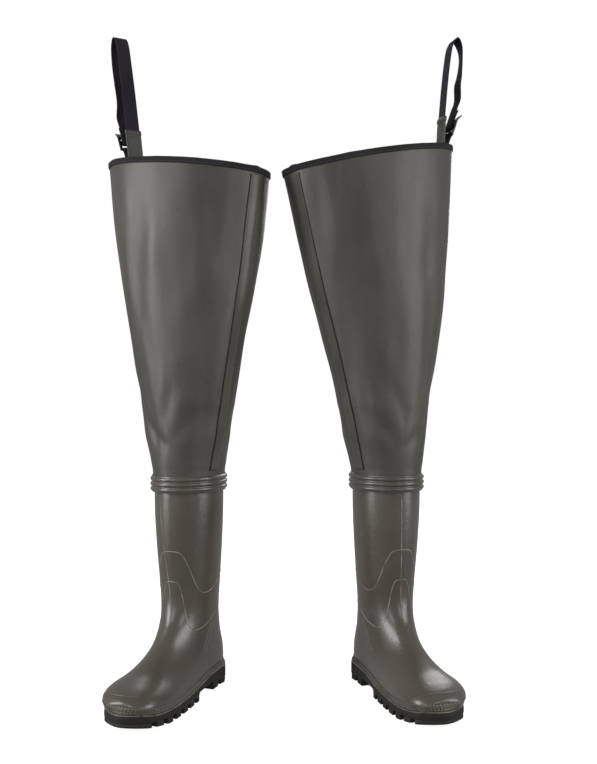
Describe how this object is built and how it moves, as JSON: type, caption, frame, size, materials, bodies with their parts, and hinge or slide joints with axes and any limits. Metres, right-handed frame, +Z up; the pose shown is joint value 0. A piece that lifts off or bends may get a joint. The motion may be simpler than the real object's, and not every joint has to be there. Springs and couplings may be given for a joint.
{
  "type": "hip waders",
  "caption": "Hip waders: moulded boots with cleated soles, ribbed collars and thigh-high coated-fabric legs, with bound rims and webbing belt loops on ladder-lock buckles.",
  "frame": {"origin": "on the floor under the middle of the pair", "axes": "+Z up; the toes point towards -Y and turn outwards; the wearer's left wader stands at +X"},
  "size_m": [0.6018, 0.3222, 1.0896],
  "materials": {
    "moulded_pvc": "satin, injection moulded, olive grey",
    "sole_pvc": "matt, moulded, dark brown",
    "knit_lining": "matt knit",
    "felt_insole": "matt felt",
    "coated_fabric": "satin, PVC-coated woven fabric, olive grey",
    "binding_tape": "matt woven tape, blue-black",
    "webbing": "matt woven webbing, purple-black",
    "buckle_plastic": "satin moulded, black"
  },
  "bodies": {
    "right_boot": {"right_boot_shell": "moulded_pvc", "right_boot_lining": "knit_lining", "right_insole": "felt_insole", "right_outsole": "sole_pvc", "right_collar_band": "moulded_pvc", "right_sleeve_knee": "coated_fabric", "right_seam_tape_knee": "coated_fabric"},
    "right_leg": {"right_sleeve_thigh": "coated_fabric", "right_seam_tape_thigh": "coated_fabric", "right_top_binding": "binding_tape", "right_strap_patch": "coated_fabric", "right_strap_anchor": "webbing", "right_leg_fold": "webbing", "right_tab_fold": "webbing"},
    "right_strap": {"right_strap_webbing": "webbing", "right_strap_sheath": "coated_fabric", "right_buckle_tab": "webbing"},
    "right_buckle": {"right_ladder_buckle": "buckle_plastic", "right_strap_tail": "webbing"},
    "left_boot": {"left_boot_shell": "moulded_pvc", "left_boot_lining": "knit_lining", "left_insole": "felt_insole", "left_outsole": "sole_pvc", "left_collar_band": "moulded_pvc", "left_sleeve_knee": "coated_fabric", "left_seam_tape_knee": "coated_fabric"},
    "left_leg": {"left_sleeve_thigh": "coated_fabric", "left_seam_tape_thigh": "coated_fabric", "left_top_binding": "binding_tape", "left_strap_patch": "coated_fabric", "left_strap_anchor": "webbing", "left_leg_fold": "webbing", "left_tab_fold": "webbing"},
    "left_strap": {"left_strap_webbing": "webbing", "left_strap_sheath": "coated_fabric", "left_buckle_tab": "webbing"},
    "left_buckle": {"left_ladder_buckle": "buckle_plastic", "left_strap_tail": "webbing"}
  },
  "joints": [
    {"name": "left_wader_slide", "type": "slide", "parent": "right_boot", "child": "left_boot", "axis": [1, 0, 0], "range_m": [0, 0.3]},
    {"name": "right_knee_bend", "type": "hinge", "parent": "right_boot", "child": "right_leg", "pos_m": [-0.1539, 0.0475, 0.403], "axis": [-1, 0, 0], "range_deg": [-15, 60], "deforming": ["right_sleeve_knee", "right_seam_tape_knee"]},
    {"name": "right_strap_fold", "type": "hinge", "parent": "right_leg", "child": "right_strap", "pos_m": [-0.258, 0.1268, 0.8558], "axis": [-0.813, -0.5822, 0], "range_deg": [-20, 90], "deforming": ["right_leg_fold", "right_tab_fold"]},
    {"name": "right_buckle_tilt", "type": "hinge", "parent": "right_strap", "child": "right_buckle", "pos_m": [-0.266, 0.1348, 0.8927], "axis": [-0.8119, -0.5814, -0.0523], "range_deg": [-8, 12]},
    {"name": "left_knee_bend", "type": "hinge", "parent": "left_boot", "child": "left_leg", "pos_m": [0.1667, 0.0635, 0.403], "axis": [-1, 0, 0], "range_deg": [-15, 60], "deforming": ["left_sleeve_knee", "left_seam_tape_knee"]},
    {"name": "left_strap_fold", "type": "hinge", "parent": "left_leg", "child": "left_strap", "pos_m": [0.2718, 0.0987, 0.8881], "axis": [-0.2868, 0.958, 0], "range_deg": [-20, 90], "deforming": ["left_leg_fold", "left_tab_fold"]},
    {"name": "left_buckle_tilt", "type": "hinge", "parent": "left_strap", "child": "left_buckle", "pos_m": [0.2747, 0.0996, 0.909], "axis": [-0.2868, 0.958, 0], "range_deg": [-8, 12]}
  ]
}
